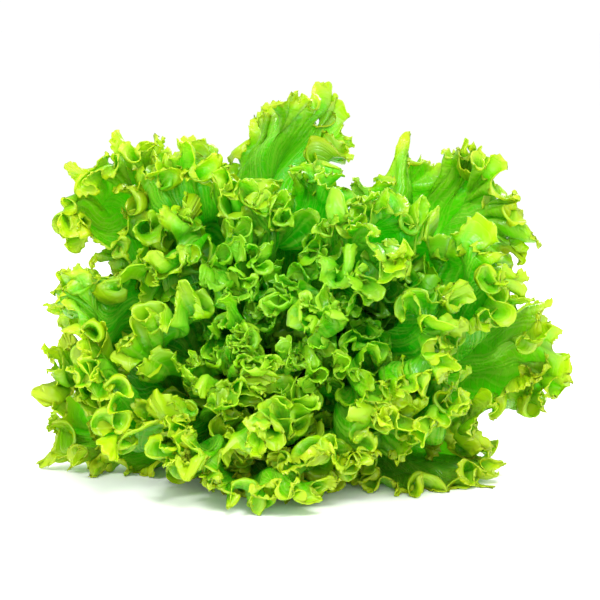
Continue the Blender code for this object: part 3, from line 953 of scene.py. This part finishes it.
INNER_WIDTHS = (0.052, 0.026)
OUTER_EDGE = {
    "Frill length": 0.0380,
    "Frill height": 0.0135,
    "Frill depth": 0.040,
    "Swell": 0.12,
    "Ruffle height": 0.0012,
    "Tooth length": 0.0060,
    "Tooth depth": 0.0034,
    "Blister size": 0.013,
    "Blister height": 0.0036,
}
# Painted light: lighter greens than the inner leaves', for the outside of the head, which the lamps light.
OUTER_GREENS = Greens(
    deep=(0.09, 0.44, 0.004),
    middle=(0.22, 0.56, 0.003),
    edge=(0.62, 0.73, 0.008),
    veins=(0.56, 0.76, 0.10),
    through=(0.22, 0.84, 0.004),
)
OUTER_COLUMNS = 96
OUTER_ROWS = (14, 8, 5, 3, 1)


def part_way(pair, share):
    """The value at a share of the way from the first of a pair to the second."""
    return pair[0] + (pair[1] - pair[0]) * share


def inner_leaves():
    """The leaves inside the outline, from the largest to the heart, a golden angle apart."""
    rng = random.Random(SEED)
    grown = []
    for i in range(INNER_COUNT):
        share = i / (INNER_COUNT - 1)
        turn = INNER_FIRST_TURN + i * GOLDEN_ANGLE + rng.uniform(-TURN_UNEVEN, TURN_UNEVEN)
        length = part_way(INNER_LENGTHS, share) * rng.uniform(1 - LENGTH_UNEVEN, 1 + LENGTH_UNEVEN)
        name = f"leaf_{i + OUTER_COUNT + 1:02d}_inner"
        grown.append((name, turn, part_way(INNER_LAYERS, share), length, part_way(INNER_WIDTHS, share)))
    return grown


def all_leaves():
    """Every leaf with the size of its frill."""
    leaves = []
    for index, (name, turn, layer, length, half_width) in enumerate([*OUTER_LEAVES, *inner_leaves()]):
        wave = WAVE_LENGTH_INNER + (WAVE_LENGTH_OUTER - WAVE_LENGTH_INNER) * layer
        waves = round(RIM_TURN * (half_width + (1 - WAIST) * length) / wave)
        band = FRILL_SHARE * length
        sweep = random.Random(SEED + index).uniform(-LEAF_SWEEP, LEAF_SWEEP)
        seed = OTHER_SEEDS.get(name, SEED + index)
        leaves.append(Leaf(name, turn, layer, length, half_width, waves, band, sweep, seed))
    return leaves


leaves = all_leaves()
outer_finish = leaf_finish("outer_leaf", OUTER_GREENS)
outer_sheet = leaf_sheet(OUTER_COLUMNS, OUTER_ROWS)
for leaf in leaves[:OUTER_COUNT]:
    grow_leaf(leaf, leaves, outer_sheet, OUTER_EDGE, outer_finish)

# The middle leaves: fifteen leaves in the bowl of the head, a golden angle apart on the stem. Their deep
# green is painted darker than the outer leaves', as painted shade in the bowl, and their frills are tighter.
MIDDLE_COUNT = 15
MIDDLE_EDGE = {**OUTER_EDGE, "Frill length": 0.0350, "Frill height": 0.0125, "Frill depth": 0.038}
# Painted shade: darker deep and middle greens than the outer leaves', for the bowl that they lie in.
MIDDLE_GREENS = Greens(
    deep=(0.012, 0.36, 0.001),
    middle=(0.14, 0.54, 0.001),
    edge=(0.61, 0.74, 0.006),
    veins=(0.56, 0.78, 0.08),
    through=(0.12, 0.86, 0.001),
)
MIDDLE_COLUMNS = 60
MIDDLE_ROWS = (10, 7, 4, 3, 1)

middle_finish = leaf_finish("middle_leaf", MIDDLE_GREENS)
middle_sheet = leaf_sheet(MIDDLE_COLUMNS, MIDDLE_ROWS)
for leaf in leaves[OUTER_COUNT : OUTER_COUNT + MIDDLE_COUNT]:
    grow_leaf(leaf, leaves, middle_sheet, MIDDLE_EDGE, middle_finish)

# The heart: twelve small young leaves round the growing tip of the stem. They are the thinnest in the midrib
# and the most finely frilled. Their greens are painted dark and less yellow at the rim, as painted shade deep
# in the head, and the light through them is the greenest.
HEART_EDGE = {
    "Frill length": 0.0310,
    "Frill height": 0.0105,
    "Frill depth": 0.033,
    "Swell": 0.12,
    "Ruffle height": 0.0009,
    "Tooth length": 0.0055,
    "Tooth depth": 0.0028,
    "Blister size": 0.009,
    "Blister height": 0.0022,
}
# Painted shade: a dark deep green and a less yellow edge than the other leaves', for the heart deep in the
# head.
HEART_GREENS = Greens(
    deep=(0.008, 0.40, 0.001),
    middle=(0.12, 0.56, 0.001),
    edge=(0.56, 0.74, 0.006),
    veins=(0.56, 0.80, 0.06),
    through=(0.08, 0.88, 0.001),
)
HEART_COLUMNS = 40
HEART_ROWS = (7, 5, 3, 2, 1)

heart_finish = leaf_finish("heart_leaf", HEART_GREENS)
heart_sheet = leaf_sheet(HEART_COLUMNS, HEART_ROWS)
for leaf in leaves[OUTER_COUNT + MIDDLE_COUNT :]:
    grow_leaf(leaf, leaves, heart_sheet, HEART_EDGE, heart_finish)

# The stem: a short stout pale stalk, cut across when the head was picked. Its skin runs in soft ribs and
# carries the scars of fallen leaves. The cut face is wet and whitish, and browns first round its rim.
STEM_LENGTH = 0.068
STEM_SIDES = 96
SKIN_ROWS = 50
CUT_ROWS = (0.2, 0.4, 0.6, 0.8, 0.93)
TIP_RADIUS = 0.0025
TIP_ROUND = 0.001
STEM_EDGE = {"Rib height": 0.00045, "Scar height": 0.0004, "Cut unevenness": 0.0005}
RIBS_ROUND = 13.0
SCAR_STEP = 0.0065
SCAR_LEAN = 1.6
SCAR_LEANS_ROUND = 3.0
CUT_LUMP = 0.006
STREAK_LENGTHS = 9.0
STREAKS = 9.0
SPOT_SIZE = 0.004
BROWN_RIM = (0.62, 0.98)
BROWN_UNEVEN = 0.10
BROWN_SHARE = 0.75
SKIN_GREEN = (0.50, 0.66, 0.20)
SKIN_PALE = (0.80, 0.84, 0.52)
CUT_WHITE = (0.84, 0.86, 0.66)
CUT_GREEN = (0.70, 0.76, 0.42)
CUT_BROWN = (0.48, 0.30, 0.12)


def build_stem_skin(tree):
    """Joins the tree: ribs along the stem, scars round it and an uneven cut face."""
    given = tree.nodes.new("NodeGroupInput").outputs
    along, round_it, on_cut = stored(tree, "along"), stored(tree, "round"), stored(tree, "cut")
    ribs = reckon(tree, "SINE", reckon(tree, "MULTIPLY", round_it, RIBS_ROUND))
    ribs = reckon(tree, "MULTIPLY", ribs, given["Rib height"])
    lean = reckon(tree, "SINE", reckon(tree, "MULTIPLY", round_it, SCAR_LEANS_ROUND))
    scars = reckon(tree, "MULTIPLY", along, 2 * math.pi / SCAR_STEP)
    scars = reckon(tree, "SINE", reckon(tree, "MULTIPLY_ADD", lean, SCAR_LEAN, scars))
    scars = reckon(tree, "MULTIPLY", scars, given["Scar height"])
    on_skin = reckon(tree, "SUBTRACT", 1.0, on_cut)
    rise = reckon(tree, "MULTIPLY", reckon(tree, "ADD", ribs, scars), on_skin)
    lumps = noise_at(tree, add_node(tree, "GeometryNodeInputPosition"), CUT_LUMP, 2.0)
    lumps = reckon(tree, "MULTIPLY", lumps, given["Cut unevenness"])
    rise = reckon(tree, "MULTIPLY_ADD", lumps, on_cut, rise)
    shift = scaled(tree, add_node(tree, "GeometryNodeInputNormal"), rise)
    moved = add_node(tree, "GeometryNodeSetPosition", {"Geometry": given["Stem"], "Offset": shift})
    end_tree(tree, moved, given["Finish"])


def stem_rows():
    """The stem's rings from the cut to the tip: the distance, the radius, and 1 on the cut face."""
    cut_radius = STEM_PROFILE[0][1]
    rows = [(0.0, cut_radius * share, 1.0) for share in CUT_ROWS]
    rows += [(along, stem_radius(along), 0.0) for along in np.linspace(0.0, STEM_PROFILE[-1][0], SKIN_ROWS)]
    return [*rows, (STEM_LENGTH - TIP_ROUND, TIP_RADIUS, 0.0)]


def stem_faces(rings):
    """The faces between the rings, and those round the middle of the cut and round the tip."""
    faces = []
    cut, tip, last = rings * STEM_SIDES, rings * STEM_SIDES + 1, (rings - 1) * STEM_SIDES
    for i in range(STEM_SIDES):
        j = (i + 1) % STEM_SIDES
        for low in range(0, last, STEM_SIDES):
            high = low + STEM_SIDES
            faces.append([low + i, low + j, high + j, high + i])
        faces.append([cut, j, i])
        faces.append([tip, last + i, last + j])
    return faces


def stem_mesh():
    """The stem turned round the head's axis, closed at both ends, with each point's place on it."""
    rows = stem_rows()
    turns = np.linspace(0, 2 * math.pi, STEM_SIDES, endpoint=False)
    side = np.cos(turns)[:, None] * UP_SIDE + np.sin(turns)[:, None] * RIGHT_SIDE
    points = [CUT_CENTRE + along * AXIS + radius * side for along, radius, _ in rows]
    points = np.concatenate([*points, [CUT_CENTRE], [CUT_CENTRE + STEM_LENGTH * AXIS]])
    along, radius, on_cut = np.repeat(rows, STEM_SIDES, axis=0).T
    mesh = bpy.data.meshes.new("stem")
    mesh.from_pydata(points.tolist(), [], stem_faces(len(rows)))
    keep(mesh, "along", np.append(along, [0.0, STEM_LENGTH]))
    keep(mesh, "round", np.append(np.tile(turns, len(rows)), [0.0, 0.0]))
    keep(mesh, "cut", np.append(on_cut, [1.0, 0.0]))
    keep(mesh, "radial", np.append(radius / STEM_PROFILE[0][1], [0.0, 0.0]))
    mesh.shade_smooth()
    return mesh


def stem_finish():
    """The stem's material: pale green skin with streaks, and a whitish cut face that browns at its rim."""
    made, tree, skin = new_material("stem_flesh")
    stretched = reckon(tree, "MULTIPLY", read(tree, "along"), STREAK_LENGTHS)
    streak_at = add_node(tree, "ShaderNodeCombineXYZ", {0: read(tree, "round"), 1: stretched})
    streaks = {"Vector": streak_at, "Scale": STREAKS, "Detail": 3.0}
    streaks = add_node(tree, "ShaderNodeTexNoise", streaks)
    green = mixed(tree, streaks, SKIN_GREEN, SKIN_PALE)

    place = tree.nodes.new("ShaderNodeTexCoord").outputs["Object"]
    spots = noise_at(tree, place, SPOT_SIZE, 3.0)
    white = mixed(tree, reckon(tree, "MULTIPLY", spots, 0.3), CUT_WHITE, CUT_GREEN)
    by_rim = reckon(tree, "MULTIPLY_ADD", spots, BROWN_UNEVEN, read(tree, "radial"))
    low, high = BROWN_RIM
    browned = add_node(tree, "ShaderNodeMapRange", {"Value": by_rim, "From Min": low, "From Max": high})
    white = mixed(tree, reckon(tree, "MULTIPLY", browned, BROWN_SHARE), white, CUT_BROWN)
    tree.links.new(mixed(tree, read(tree, "cut"), green, white), skin.inputs["Base Color"])
    skin.inputs["Roughness"].default_value = 0.38
    bump = add_node(tree, "ShaderNodeBump", {"Strength": 0.35, "Distance": 0.0004, "Height": streaks})
    tree.links.new(bump, skin.inputs["Normal"])
    return made


stem_skin, stem_sockets = new_tree("stem_skin", "Stem", STEM_EDGE)
build_stem_skin(stem_skin)
stalk = add_object("stem_stalk", stem_mesh())
add_tree(stalk, stem_skin, stem_sockets, {**STEM_EDGE, "Finish": stem_finish()})
make_plain(stalk)
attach(stalk, "root")
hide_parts("stem")
